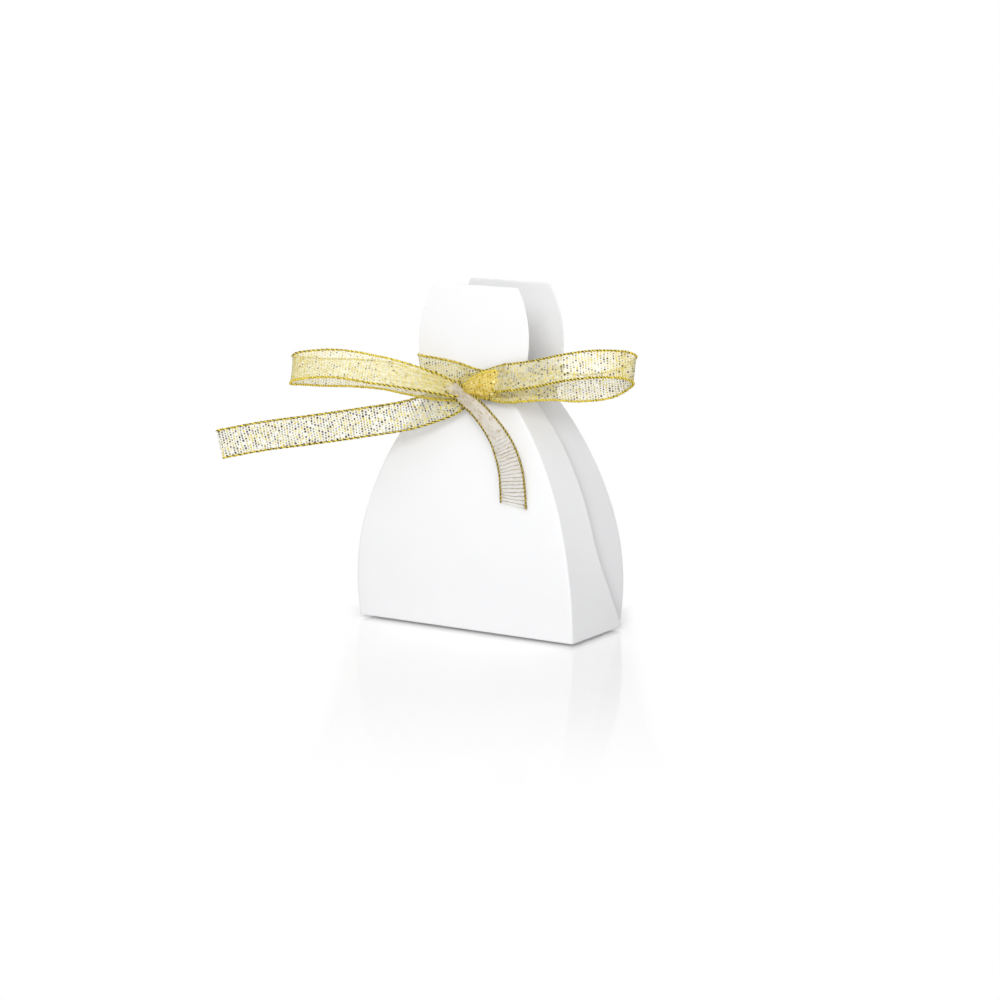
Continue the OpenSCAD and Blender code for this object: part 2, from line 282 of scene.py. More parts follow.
# a thread's length shows in its cell as an upright dash, its size a little different each time
sizeLuck = weaveMath("MULTIPLY_ADD", luck.outputs[1], gauze["dashSpread"], gauze["dashLeast"])
dashSize = weaveMath("MULTIPLY", sizeLuck, gin["Dot Size"])
acrossWeft = weaveMath("ABSOLUTE", weaveMath("SUBTRACT", weftPhase, 0.5))
acrossWarp = weaveMath("ABSOLUTE", weaveMath("SUBTRACT", warpPhase, 0.5))
inWeft = softStep(weaveMath("SUBTRACT", weaveMath("MULTIPLY", dashSize, gauze["dashTall"]), acrossWeft))
inWarp = softStep(weaveMath("SUBTRACT", weaveMath("MULTIPLY", dashSize, gauze["dashWide"]), acrossWarp))
shows = weaveMath("LESS_THAN", weaveMath("SUBTRACT", luck.outputs[0], patchAmount), gin["Dot Share"])
strength = weaveMath("MULTIPLY_ADD", luck.outputs[2], 0.35, 0.75, clamp=True)
dash = weaveMath("MULTIPLY", weaveMath("MULTIPLY", inWeft, inWarp), weaveMath("MULTIPLY", shows, strength))
kind = addNode(weaveGroup, "ShaderNodeTexWhiteNoise", noise_dimensions="3D")
away = addNode(weaveGroup, "ShaderNodeVectorMath", operation="ADD")
away.inputs[1].default_value = (31.7, 11.3, 5.9)
links.new(cell.outputs[0], away.inputs[0])
links.new(away.outputs[0], kind.inputs["Vector"])
kindLuck = kind.outputs["Value"]
greyLuck = weaveMath("FRACT", weaveMath("MULTIPLY", kindLuck, 7.3))
isDark = weaveMath("GREATER_THAN", greyLuck, gauze["greyShare"])
dashColour = mixColour(weaveGroup, isDark, gin["Grey"], gin["Dark"])
# between gold and dark there are half lit threads
goldPoint = weaveMath("MULTIPLY_ADD", gin["Gold Tint"], 0.3, gin["Gold Share"])
darkAmount = weaveMath("MULTIPLY_ADD", weaveMath("SUBTRACT", kindLuck, goldPoint), 3.0, 0.5, clamp=True)
dashColour = mixColour(weaveGroup, darkAmount, gin["Gold"], dashColour)
# the cloth between is yellower where the threads glint and in patches
patchGlint = weaveMath("MULTIPLY_ADD", patch.outputs[0], 0.9, -1.15)
glint = weaveMath("MULTIPLY_ADD", luck.outputs[2], 1.4, patchGlint, clamp=True)
tint = weaveMath("ADD", glint, weaveMath("MULTIPLY", gin["Gold Tint"], 0.65), clamp=True)
goldCloth = mixColour(weaveGroup, gauze["clothGold"], gin["Gold"], gin["Gauze"])
cloth = mixColour(weaveGroup, tint, gin["Gauze"], goldCloth)
lineReach = weaveMath("MULTIPLY", gin["Line Width"], gauze["lineTall"])
onWeft = softStep(weaveMath("SUBTRACT", lineReach, acrossWeft))
broken = weaveMath("MULTIPLY_ADD", luck.outputs[0], 0.5, 0.6, clamp=True)
line = weaveMath("MULTIPLY", weaveMath("MULTIPLY", onWeft, broken), gin["Line Strength"])
cloth = mixColour(weaveGroup, line, cloth, gin["Line"])
links.new(mixColour(weaveGroup, dash, cloth, dashColour), groupOut.inputs["Colour"])
filled = weaveMath("MAXIMUM", weaveMath("MAXIMUM", dash, line), weaveMath("MULTIPLY", gin["Gold Tint"], 0.6))
alphaLeft = weaveMath("SUBTRACT", gauze["threadAlpha"], gin["Gauze Alpha"])
alpha = weaveMath("MULTIPLY_ADD", filled, alphaLeft, gin["Gauze Alpha"], clamp=True)
links.new(alpha, groupOut.inputs["Alpha"])
links.new(weaveMath("MULTIPLY", dash, gauze["threadMetal"]), groupOut.inputs["Metal"])
links.new(weaveMath("MULTIPLY_ADD", luck.outputs[2], 0.25, 0.42), groupOut.inputs["Roughness"])
swell = weaveMath("SINE", weaveMath("MULTIPLY", warpPhase, math.pi))
ridge = weaveMath("SINE", weaveMath("MULTIPLY", weftPhase, math.pi))
links.new(weaveMath("MULTIPLY", swell, ridge), groupOut.inputs["Height"])


def tone(red, green, blue):
    # a screen colour of 0 to 255 as the shader's own linear colour
    return tuple(c / 255 / 12.92 if c < 11 else ((c / 255 + 0.055) / 1.055) ** 2.4
                 for c in (red, green, blue))


def ribbonMaterial(name, seed, lineFrom=None, **values):
    material, tree = newMaterial(name)
    uvMap = addNode(tree, "ShaderNodeUVMap", uv_map="ribbonLay")
    split = addNode(tree, "ShaderNodeSeparateXYZ")
    tree.links.new(uvMap.outputs[0], split.inputs[0])
    tint = addNode(tree, "ShaderNodeAttribute", attribute_name="goldTintAndSheen")
    weave = placeGroup(tree, weaveGroup, Across=split.outputs[0], Along=split.outputs[1], Seed=seed,
                       Gold_Tint=tint.outputs["Fac"], **values)
    if lineFrom:  # the weft lines show from here on, where the cloth opens
        ramp = addNode(tree, "ShaderNodeMapRange", interpolation_type="SMOOTHSTEP")
        ramp.inputs["From Min"].default_value = lineFrom[0]
        ramp.inputs["From Max"].default_value = lineFrom[1]
        tree.links.new(split.outputs[1], ramp.inputs["Value"])
        tree.links.new(mathNode(tree, "MULTIPLY", ramp.outputs[0], values["Line_Strength"]),
                       weave.inputs["Line Strength"])
    shader = addNode(tree, "ShaderNodeBsdfPrincipled", in_IOR=1.4)
    shader.inputs["Specular IOR Level"].default_value = gauze["specular"]
    bump = addNode(tree, "ShaderNodeBump", in_Strength=gauze["bump"], in_Distance=gauze["bumpDepth"])
    out = addNode(tree, "ShaderNodeOutputMaterial")
    for source, socket in (("Colour", "Base Color"), ("Metal", "Metallic"), ("Roughness", "Roughness"),
                           ("Alpha", "Alpha")):
        tree.links.new(weave.outputs[source], shader.inputs[socket])
    tree.links.new(weave.outputs["Height"], bump.inputs["Height"])
    tree.links.new(bump.outputs[0], shader.inputs["Normal"])
    tree.links.new(shader.outputs[0], out.inputs["Surface"])
    return material


selvedge = {"speckScale": 1100.0, "speck": 1.2, "metal": 0.1, "roughness": 0.4, "specular": 0.1}


def selvedgeMaterial(name, bright, dark):
    # the threadTone attribute is 0 on bright gold thread and 1 on the dark ply
    material, tree = newMaterial(name)
    toneShare = addNode(tree, "ShaderNodeAttribute", attribute_name="threadTone")
    coords = addNode(tree, "ShaderNodeTexCoord")
    speck = addNode(tree, "ShaderNodeTexNoise", in_Scale=selvedge["speckScale"], in_Detail=1.0)
    tree.links.new(coords.outputs["Object"], speck.inputs["Vector"])
    speckShade = mathNode(tree, "MULTIPLY_ADD", speck.outputs[0], selvedge["speck"], -selvedge["speck"] / 2)
    amount = mathNode(tree, "ADD", toneShare.outputs["Fac"], speckShade, clamp=True)
    colour = mixColour(tree, amount, bright, dark)
    shader = addNode(tree, "ShaderNodeBsdfPrincipled", in_Metallic=selvedge["metal"],
                     in_Roughness=selvedge["roughness"])
    shader.inputs["Specular IOR Level"].default_value = selvedge["specular"]
    out = addNode(tree, "ShaderNodeOutputMaterial")
    tree.links.new(colour, shader.inputs["Base Color"])
    tree.links.new(shader.outputs[0], out.inputs["Surface"])
    return material


goldSelvedge = selvedgeMaterial("goldSelvedge", tone(253, 230, 88), tone(50, 34, 2))
oliveSelvedge = selvedgeMaterial("oliveSelvedge", tone(220, 198, 96), tone(72, 58, 14))
looseThread = selvedgeMaterial("looseThread", tone(224, 212, 160), tone(150, 138, 100))
print("materials made")


# helpers for meshes
def toObject(name, bm, material):
    mesh = bpy.data.meshes.new(name)
    bm.to_mesh(mesh)
    bm.free()
    mesh.materials.append(material)
    piece = bpy.data.objects.new(name, mesh)
    bpy.context.scene.collection.objects.link(piece)
    return piece


def softShade(piece, degrees):
    piece.data.shade_smooth()
    piece.data.set_sharp_from_angle(angle=math.radians(degrees))


cardEdge = {"eased": 0.16, "rimAngle": 50, "smoothAngle": 40}


def cardSheet(name, place, alongRows, acrossCols, outward, material=coatedCard):
    # a grid of card laid out by place(column share, row share), given its thickness inwards, its edges eased
    bm = bmesh.new()
    bmesh.ops.create_grid(bm, x_segments=acrossCols, y_segments=alongRows, size=1)
    for vert in bm.verts:
        vert.co = Vector(place((vert.co.x + 1) / 2, (vert.co.y + 1) / 2)) * mm
    bm.normal_update()
    middle = bm.faces[:][len(bm.faces) // 2]
    if middle.normal.dot(Vector(outward)) < 0:
        bmesh.ops.reverse_faces(bm, faces=bm.faces[:])
    outer = set(bm.faces[:])
    bmesh.ops.solidify(bm, geom=bm.faces[:], thickness=box["card"] * mm)
    bmesh.ops.recalc_face_normals(bm, faces=bm.faces[:])
    rims = [edge for edge in bm.edges if edge.calc_face_angle(0) > math.radians(cardEdge["rimAngle"])]
    bmesh.ops.bevel(bm, geom=rims, offset=cardEdge["eased"] * mm, segments=2, profile=0.5, affect="EDGES",
                    material=-1, clamp_overlap=True)
    piece = toObject(name, bm, material)
    softShade(piece, cardEdge["smoothAngle"])
    return piece


def cardWarp(x, y, z, amount):
    # slow unevenness of hand-folded card, in millimetres
    return amount * noise.noise(Vector((x * 0.035, y * 0.05, z * 0.03 + 7)))


panel = {"rows": 150, "cols": 48, "gather": 0.65, "warp": 0.12, "edgeDip": 0.12, "edgeWidth": 1.2,
         "settleZ": 12, "hollow": 0.1}


def panelPlace(side, inset):
    def place(across, up):
        z = box["height"] * up
        reach = halfWidth(z) - inset
        # columns gather at both edges, so that the fold's dip is smooth
        gathered = math.sin((across - 0.5) * math.pi)
        share = panel["gather"] * gathered + (1 - panel["gather"]) * (2 * across - 1)
        x = reach * share
        edge = max(0.0, 1 - (reach - abs(x)) / panel["edgeWidth"]) if z < box["waistZ"] else 0.0
        y = halfDepth(z) - panel["edgeDip"] * edge**2
        free = min(1.0, max(0.0, z / panel["settleZ"])) * (1 - edge)
        hollow = panel["hollow"] * free * (1 - abs(share))
        return (x, side * (y - hollow + cardWarp(x, side * y, z, panel["warp"]) * free), z)

    return place


frontPanel = cardSheet("frontPanel", panelPlace(-1, 0), panel["rows"], panel["cols"], (0, -1, 0))
rearPanel = cardSheet("rearPanel", panelPlace(1, box["tuckIn"]), panel["rows"], panel["cols"], (0, 1, 0))
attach(frontPanel, "front_half")
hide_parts("front_panel")
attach(rearPanel, "rear_half")
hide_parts("rear_panel")

gusset = {"rows": 110, "cols": 40, "sag": 0.125, "spring": 0.7, "springFoot": 5, "springTop": 6, "lean": 4.0,
          # the painted shadow behind the front gusset's free edge: where it starts to fade, how far and how
          # fast, in millimetres
          "shadowStart": 2.6, "shadowWidth": 2.6, "shadowPower": 1.2}


def frontGussetPlace(side):
    def place(back, up):
        z = box["waistZ"] * up
        start = box["card"] + box["foldGap"] - halfDepth(z)
        y = start + (freeEdge(z, -box["gussetShort"]) - start) * back
        sag = gusset["sag"] * math.sin(math.pi * min(1, back)) * math.sin(math.pi * up)
        # the free edge stands out a little, but not at its foot or its top
        held = min(1.0, (1 - up) * gusset["springTop"], up * gusset["springFoot"])
        spring = gusset["spring"] * max(0.0, back) ** 2 * held
        return (side * (halfWidth(z) - sag * back + spring), y, z)

    return place


def rearGussetPlace(side):
    # leans inwards from its fold at the rear panel's edge
    lean = math.radians(gusset["lean"])
    bottom = box["card"] + box["foldGap"]

    def place(forward, up):
        z = bottom + (box["waistZ"] - bottom) * up
        start = halfDepth(z) - box["card"] - box["foldGap"]
        y = start + (-freeEdge(z, box["tuckReach"]) - start) * forward
        x = halfWidth(z) - box["tuckIn"] - (halfDepth(0) - y) * math.tan(lean)
        return (side * x, y, z)

    return place


for side, word in ((-1, "left"), (1, "right")):
    outer = cardSheet(word + "FrontGusset", frontGussetPlace(side), gusset["rows"], gusset["cols"],
                      (side, 0, 0))
    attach(outer, "front_half")
    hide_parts(word + "_front_gusset")
    tucked = cardSheet(word + "RearGusset", rearGussetPlace(side), gusset["rows"], gusset["cols"],
                       (side, 0, 0), tuckedShadedCard)
    # painted shadow on the tucked gusset beside the front gusset's free edge: full just behind the edge,
    # fading towards the rear fold
    edgeShadowLayer = tucked.data.attributes.new("edgeShadowMask", "FLOAT", "POINT")
    for vert, value in zip(tucked.data.vertices, edgeShadowLayer.data):
        edgeY = freeEdge(vert.co.z / mm, -box["gussetShort"])
        beyond = max(0.0, vert.co.y / mm - edgeY - gusset["shadowStart"]) / gusset["shadowWidth"]
        value.value = math.exp(-beyond ** gusset["shadowPower"])
    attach(tucked, "rear_half")
    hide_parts(word + "_rear_gusset")


def basePlace(across, back):
    halfW = halfWidth(0) - box["tuckIn"] - box["card"] - box["foldGap"]
    halfD = halfDepth(0) - box["card"] - box["foldGap"]
    return (halfW * (2 * across - 1), halfD * (2 * back - 1), 0)


basePanel = cardSheet("basePanel", basePlace, 12, 24, (0, 0, -1))
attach(basePanel, "rear_half")
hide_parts("base_panel")
print("card box made")

# ribbon, in millimetres
ribbon = {"width": 10.0, "thick": 0.12, "step": 0.4, "cols": 24, "narrowest": 0.3, "pleatRate": 2.1,
          "pleatMost": 2.6, "pleatDrift": 0.02, "rippleScale": 0.09, "cutRows": 12}
twist = {"step": 0.13, "plyPitch": 2.2, "plyRadius": 0.22, "finePly": 0.85, "swing": 0.8, "swingLuck": 0.3,
         "turnLuck": 0.7, "picotPitch": 0.8, "picotRadius": 0.42, "picotLuck": 0.5, "picotThread": 0.075}
frayed = {"edge": 0.97, "slip": 0.3, "shortest": 0.25, "bend": 0.4, "lift": 0.3, "thin": 0.04, "thick": 0.07,
          "tone": 0.7}
bow = {"knotX": 3.5, "knotDrop": 2.4, "knotDepth": 4.8, "knotClear": 0.3, "turn": 20, "opening": 14,
       "bendFrom": 3, "bendTo": 15}
knotZ = box["bandZ"] - bow["knotDrop"]
knotStand = 2 * box["ribbonGap"] + bow["knotClear"] + bow["knotDepth"] / 2
knotMiddle = Vector((bow["knotX"], -(halfDepth(knotZ) + knotStand), knotZ))
turn = math.radians(bow["turn"])
alongWay = Vector((math.cos(turn), math.sin(turn), 0))
forwardWay = Vector((math.sin(turn), -math.cos(turn), 0))
upWay = Vector((0, 0, 1))


def splineAt(p0, p1, p2, p3, t):
    return [(2 * b + (c - a) * t + (2 * a - 5 * b + 4 * c - d) * t * t + (3 * b - a - 3 * c + d) * t**3) / 2
            for a, b, c, d in zip(p0, p1, p2, p3)]


def smoothRows(rows, perRow=12):
    # Catmull-Rom through rows of any columns
    first = [2 * b - c for b, c in zip(rows[0], rows[1])]
    last = [2 * b - c for b, c in zip(rows[-1], rows[-2])]
    padded = [first, *rows, last]
    out = []
    for i in range(len(rows) - 1):
        for k in range(perRow):
            out.append(splineAt(*padded[i : i + 4], k / perRow))
    return [*out, list(rows[-1])]


def evenRows(rows, step):
    # the same path at even steps; the first three columns are its place
    lengths = [0.0]
    for a, b in zip(rows, rows[1:]):
        lengths.append(lengths[-1] + math.dist(a[:3], b[:3]))
    count = max(8, round(lengths[-1] / step))
    out, j = [], 0
    for i in range(count + 1):
        want = lengths[-1] * i / count
        while j < len(rows) - 2 and lengths[j + 1] < want:
            j += 1
        span = max(lengths[j + 1] - lengths[j], 1e-9)
        t = min(1.0, (want - lengths[j]) / span)
        out.append([a + (b - a) * t for a, b in zip(rows[j], rows[j + 1])])
    return out, lengths[-1]


def along(stops, share):
    # the value between stops of (share of the length, value)
    if share <= stops[0][0]:
        return stops[0][1]
    for (a, va), (b, vb) in zip(stops, stops[1:]):
        if share <= b:
            return va + (vb - va) * (share - a) / (b - a)
    return stops[-1][1]


def pleatSlope(share):
    # slope of the pleats that takes up the ribbon's width where it is drawn in to a share
    slack = max(0.0, 1 / max(share, ribbon["narrowest"]) - 1)
    return min(ribbon["pleatMost"], ribbon["pleatRate"] * math.sqrt(slack))


def tiedLay(rows, widthWay, pleats=3.0, phase=0.0, ripple=0.3, cutSlant=0.0, pleating=1.0):
    # a stretch along rows of x, y, z, width share, lean and crown; gives back its point(row, across),
    # its number of rows and its length
    fine, length = evenRows(smoothRows(rows), ribbon["step"])
    path = [Vector(row[:3]) for row in fine]
    frames = []
    for i, point in enumerate(path):
        tangent = (path[min(i + 1, len(path) - 1)] - path[max(i - 1, 0)]).normalized()
        way = widthWay(fine[i][4]) if callable(widthWay) else widthWay
        side = (way - way.dot(tangent) * tangent).normalized()
        frames.append((point, tangent, side, tangent.cross(side), fine[i][3], fine[i][5]))

    def pointAt(i, across):
        point, tangent, side, face, share, crown = frames[i]
        reach = share * ribbon["width"] / 2
        depth = pleating * pleatSlope(share) * reach / (math.pi * pleats)
        drift = phase + ribbon["pleatDrift"] * i
        lift = depth * math.sin(math.pi * pleats * across + drift) - crown * across**2
        lift += ripple * noise.noise(point * ribbon["rippleScale"] + Vector((across * 0.6, phase, 0)))
        end = cutSlant * across * max(0.0, 1 - (len(frames) - 1 - i) / ribbon["cutRows"])
        return point + side * (reach * across) + face * lift + tangent * end

    return pointAt, len(frames) - 1, length


def ribbonSheet(name, lay, material, tints):
    pointAt, rows, length = lay
    bm = bmesh.new()
    bmesh.ops.create_grid(bm, x_segments=ribbon["cols"], y_segments=rows, size=1)
    uvLayer = bm.loops.layers.uv.new("ribbonLay")
    # gold tint: yellower, denser cloth where the ribbon is gathered near the knot, and a painted sheen at the
    # loops' turns, where the cloth is seen edge-on
    tintLayer = bm.verts.layers.float.new("goldTintAndSheen")
    where = {}
    for vert in bm.verts:
        across, share = vert.co.x, (vert.co.y + 1) / 2
        where[vert] = ((across + 1) / 2, share * length / ribbon["width"])
        vert[tintLayer] = along(tints, share)
        vert.co = pointAt(min(rows, max(0, round(share * rows))), across) * mm
    for face in bm.faces:
        for loop in face.loops:
            loop[uvLayer].uv = where[loop.vert]
    piece = toObject(name, bm, material)
    thick = piece.modifiers.new("clothThickness", "SOLIDIFY")
    thick.thickness = ribbon["thick"] * mm
    thick.offset = 0
    piece.data.shade_smooth()
    return piece


def threadTube(points, radius, tones, sides):
    # a thin tube along points in millimetres, as a mesh that carries its tone
    curve = bpy.data.curves.new("thread", "CURVE")
    curve.dimensions = "3D"
    curve.bevel_depth = radius * mm
    curve.bevel_resolution = sides
    curve.use_fill_caps = True
    spline = curve.splines.new("POLY")
    spline.points.add(len(points) - 1)
    for target, point in zip(spline.points, points):
        target.co = (*(point * mm), 1)
    holder = bpy.data.objects.new("thread", curve)
    bpy.context.scene.collection.objects.link(holder)
    mesh = bpy.data.meshes.new_from_object(holder)
    bpy.data.objects.remove(holder)
    toneLayer = mesh.attributes.new("threadTone", "FLOAT", "POINT")
    around = max(1, len(mesh.vertices) // len(points))
    values = [tones[min(len(tones) - 1, k // around)] for k in range(len(mesh.vertices))]
    toneLayer.data.foreach_set("value", values)
    return mesh


def twistedEdge(name, lines, darkness, pitch, thread):
    # selvedges: two twisted plies and a fine weft loop round them, along lines of points
    meshes = []
    for line, dark in zip(lines, darkness):
        frames, run, side = [], 0.0, None
        for i, point in enumerate(line):
            if i:
                run += (line[i] - line[i - 1]).length
            tangent = (line[min(i + 1, len(line) - 1)] - line[max(i - 1, 0)]).normalized()
            side = tangent.orthogonal() if side is None else side - side.dot(tangent) * tangent
            side.normalize()
            frames.append((point, side, tangent.cross(side), run))
        for ply in (0, 1):
            points, tones = [], []
            for point, side, other, here in frames:
                turned = 2 * math.pi * here / pitch + math.pi * ply
                angle = turned + twist["turnLuck"] * noise.noise(point * 0.4)
                swing = twist["plyRadius"] * (twist["swing"] + twist["swingLuck"] * noise.noise(point * 0.9))
                points.append(point + (side * math.cos(angle) + other * math.sin(angle)) * swing)
                level = along(dark, here / run)
                tones.append(level + 0.1 if ply else level * 0.3 - 0.2)  # only one ply is dark
            plyRadius = twist["plyRadius"] * (twist["finePly"] if ply else 1.0)
            meshes.append(threadTube(points, plyRadius, tones, 1))
        points = []
        for point, side, other, here in frames:
            angle = 2 * math.pi * here / twist["picotPitch"]
            swing = twist["picotRadius"] * (1.0 + twist["picotLuck"] * noise.noise(point * 1.3))
            points.append(point + (side * math.cos(angle) + other * math.sin(angle)) * swing)
        meshes.append(threadTube(points, twist["picotThread"], [0.5], 0))
    bm = bmesh.new()
    for mesh in meshes:
        bm.from_mesh(mesh)
    piece = toObject(name, bm, thread)
    piece.data.shade_smooth()
    return piece


def edgeLine(lay, across):
    pointAt, rows, _ = lay
    fine, _ = evenRows([list(pointAt(i, across)) for i in range(rows + 1)], twist["step"])
    return [Vector(p) for p in fine]


def frayedEnd(name, lay, count, reach, seed):
    # warp ends that stand out of the cut
    pointAt, rows, _ = lay
    dice = random.Random(seed)
    meshes = []
    for k in range(count):
        spread = (k + dice.uniform(-frayed["slip"], frayed["slip"])) / (count - 1)
        across = frayed["edge"] * (2 * spread - 1)
        across = max(-1.0, min(1.0, across))
        root = pointAt(rows - 1, across)
        way = (pointAt(rows, across) - root).normalized()
        sideWay = (pointAt(rows, min(1, across + 0.1)) - pointAt(rows, max(-1, across - 0.1))).normalized()
        face = way.cross(sideWay)
        out = dice.uniform(frayed["shortest"], 1.0) * reach
        bend = dice.uniform(-frayed["bend"], frayed["bend"])
        lift = dice.uniform(-frayed["lift"], frayed["lift"])
        points = [root + way * (out * t) + sideWay * (bend * t * t) + face * (lift * t * t)
                  for t in (0, 0.25, 0.5, 0.75, 1.0)]
        radius = dice.uniform(frayed["thin"], frayed["thick"])
        meshes.append(threadTube(points, radius, [dice.uniform(0, frayed["tone"])], 0))
    bm = bmesh.new()
    for mesh in meshes:
        bm.from_mesh(mesh)
    return toObject(name, bm, looseThread)


def makeStretch(name, lay, body, nodes, material, looks, pitch=twist["plyPitch"], blendTo=None,
                fray=None, thread=goldSelvedge):
    # one stretch of ribbon with its two selvedges, riding on its body, or baked in place where it has a bend;
    # looks has its tints and darkness
    sheet = ribbonSheet(name, lay, material, looks["tints"])
    lines = [edgeLine(lay, across) for across in (-1, 1)]
    extras = [twistedEdge(name + "Selvedges", lines, looks["darkness"], pitch, thread)]
    if fray:
        extras.append(frayedEnd(name + "Fray", lay, *fray))
    for piece in (sheet, *extras):
        if blendTo:
            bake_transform(piece)
        else:
            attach(piece, body)
    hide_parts(*nodes)
    print(f"{name}: {lay[2]:.1f} mm of ribbon")


# the same weave in copies set to each stretch's own light, so that some of their lightness and darkness is
# painted light and shade: counts are to one width of ribbon
openLook = dict(Gold=tone(226, 208, 88), Dark=tone(58, 50, 10), Grey=tone(96, 84, 100),
                Weft_Count=9.55, Warp_Count=10.6, Row_Slip=0.12, Dot_Share=0.95)
goldLook = {**openLook, "Gold": tone(222, 202, 78), "Dark": tone(58, 44, 4), "Grey": tone(88, 72, 76),
            "Patchiness": 0.15}
openWeave = ribbonMaterial("openWeave", 3.0, **openLook, Gauze=tone(253, 252, 236), Dot_Size=1.1,
                           Gold_Share=0.42, Patchiness=0.4, Gauze_Alpha=0.32)
goldWeave = ribbonMaterial("goldWeave", 11.0, **goldLook, Gauze=tone(255, 252, 230), Dot_Size=1.0,
                           Gold_Share=0.5, Gauze_Alpha=0.26)
paleWeave = ribbonMaterial("paleWeave", 13.0, **goldLook, Gauze=tone(255, 252, 222), Dot_Size=0.84,
                           Gold_Share=0.72, Gauze_Alpha=0.26)
# the band's copy is lighter and denser: painted light that lifts the shade the band casts on the card behind
# it
bandWeave = ribbonMaterial("bandWeave", 17.0, **goldLook, Gauze=tone(255, 252, 228), Dot_Size=0.95,
                           Gold_Share=0.64, Gauze_Alpha=0.75)
# on the knot the Grey threads are near white: painted glints
knotWeave = ribbonMaterial("knotWeave", 23.0, Gauze=tone(240, 224, 142), Gold=tone(190, 154, 12),
                           Dark=tone(78, 58, 0), Grey=tone(255, 250, 212), Weft_Count=9.6, Warp_Count=10.6,
                           Dot_Share=0.95, Dot_Size=1.05, Gold_Share=0.46, Patchiness=0.4, Gauze_Alpha=0.9)
hangWeave = ribbonMaterial("hangWeave", 5.0, lineFrom=(2.0, 3.0), Gauze=tone(255, 253, 248),
                           Gold=tone(206, 182, 134), Dark=tone(120, 104, 60), Grey=tone(150, 138, 130),
                           Line=tone(136, 120, 72), Weft_Count=8.0, Warp_Count=9.0, Dot_Share=0.7,
                           Dot_Size=0.6, Gold_Share=0.5, Line_Strength=1.0, Line_Width=0.2, Patchiness=0.3,
                           Gauze_Alpha=0.22)


def bowPlace(a, out, up):
    return knotMiddle + alongWay * a + forwardWay * out + upWay * up


def bowRows(values):
    # rows of along, out, up and width share: near rows are in millimetres, the others in shares of the
    # stretch's reach, the bow's opening and the stretch's rise
    rows = []
    for a, out, up, share in values["near"]:
        rows.append([*bowPlace(a, out, up), share, values["lean"], 0])
    for a, out, up, share in values["shares"]:
        place = bowPlace(a * values["reach"], out * bow["opening"], up * values["rise"])
        rows.append([*place, share, values["lean"], 0])
    return rows


def leanWay(lean):
    a = math.radians(lean)
    return upWay * math.cos(a) - forwardWay * math.sin(a)


rightLoop = {
    "reach": 56, "rise": 11, "lean": 32, "pitch": 1.25,
    "near": [[-5.5, 0.6, 1.4, 0.26], [-2.4, 0.9, 2.4, 0.42], [2.0, 1.2, 2.9, 0.6], [6.2, 1.8, 3.5, 0.84],
             [9.6, 3.4, 4.1, 0.97]],
    "shares": [[0.23, 0.44, 0.43, 1], [0.40, 0.62, 0.60, 1], [0.58, 0.72, 0.83, 1], [0.77, 0.68, 0.98, 1],
               [0.93, 0.48, 0.96, 1], [1.00, 0.24, 0.82, 1], [0.98, 0.00, 0.61, 1], [0.85, -0.18, 0.22, 1],
               [0.66, -0.06, 0.09, 1], [0.50, 0.26, 0.17, 1], [0.34, 0.40, 0.10, 0.95],
               [0.22, 0.28, -0.02, 0.84], [0.11, 0.06, -0.08, 0.6]],
    # tints: gold where the ribbon is gathered at the knot, and painted sheen round the turn
    "tints": [(0, 1.0), (0.08, 0.8), (0.16, 0.3), (0.3, 0.12), (0.44, 0.1), (0.5, 0.7), (0.56, 0.25),
              (0.7, 0.1), (0.85, 0.4), (1, 0.8)],
    "darkness": [[(0, 0.9), (0.42, 0.95), (0.5, 0.3), (0.6, 0.35), (0.8, 0.1), (1, 0.7)],
                 [(0, 0.95), (0.3, 0.9), (0.5, 0.7), (0.6, 0.4), (1, 0.5)]],
}
leftLoop = {
    "reach": 65, "rise": 11, "lean": 25, "pitch": 1.8,
    "near": [[-4.0, -0.2, -1.0, 0.36]],
    "shares": [[-0.12, 0.06, -0.06, 0.56], [-0.20, 0.20, 0.11, 0.70], [-0.35, 0.40, 0.35, 0.88],
               [-0.52, 0.48, 0.54, 1], [-0.74, 0.45, 0.69, 1], [-0.94, 0.28, 0.56, 1], [-1.00, 0.09, 0.38, 1],
               [-0.97, -0.11, 0.32, 1], [-0.84, -0.25, 0.28, 1], [-0.67, -0.26, 0.29, 1],
               [-0.50, -0.20, 0.25, 1], [-0.35, -0.12, 0.07, 0.90], [-0.20, -0.10, -0.14, 0.70],
               [-0.10, -0.12, -0.22, 0.50]],
    # tints: gold where the ribbon is gathered at the knot, and painted sheen round the turn
    "tints": [(0, 0.9), (0.1, 0.55), (0.22, 0.2), (0.34, 0.08), (0.44, 0.3), (0.5, 0.85), (0.56, 0.2),
              (0.8, 0.2), (1, 0.7)],
    "darkness": [[(0, 1.0), (0.2, 1.0), (0.32, 0.35), (0.48, 0.1), (0.55, 0.0), (0.9, 0.0), (1, 0.3)],
                 [(0, 0.9), (0.12, 0.6), (0.25, 0.1), (0.33, 0.5), (0.5, 0.75), (0.6, 0.4), (1, 0.6)]],
}
leftTail = {
    "reach": 92, "rise": 23, "lean": 0, "fray": (17, 0.9, 5),
    "near": [[-1.0, -0.6, -2.6, 0.34], [-3.4, -0.9, -3.5, 0.58], [-6.0, -1.2, -4.5, 0.8],
             [-9.5, -1.5, -5.7, 0.95]],
    "shares": [[-0.17, -0.09, -0.345, 1], [-0.27, 0.00, -0.47, 1], [-0.45, 0.12, -0.60, 1],
               [-0.63, 0.08, -0.73, 1], [-0.82, 0.03, -0.86, 1], [-1.00, 0.00, -1.02, 1]],
    "tints": [(0, 0.45), (0.1, 0.2), (0.2, 0.0), (1, 0.0)],
    "darkness": [[(0, 0.8), (0.25, 0.9), (0.6, 1.0), (1, 0.7)], [(0, 0.6), (0.4, 0.8), (1, 0.75)]],
}
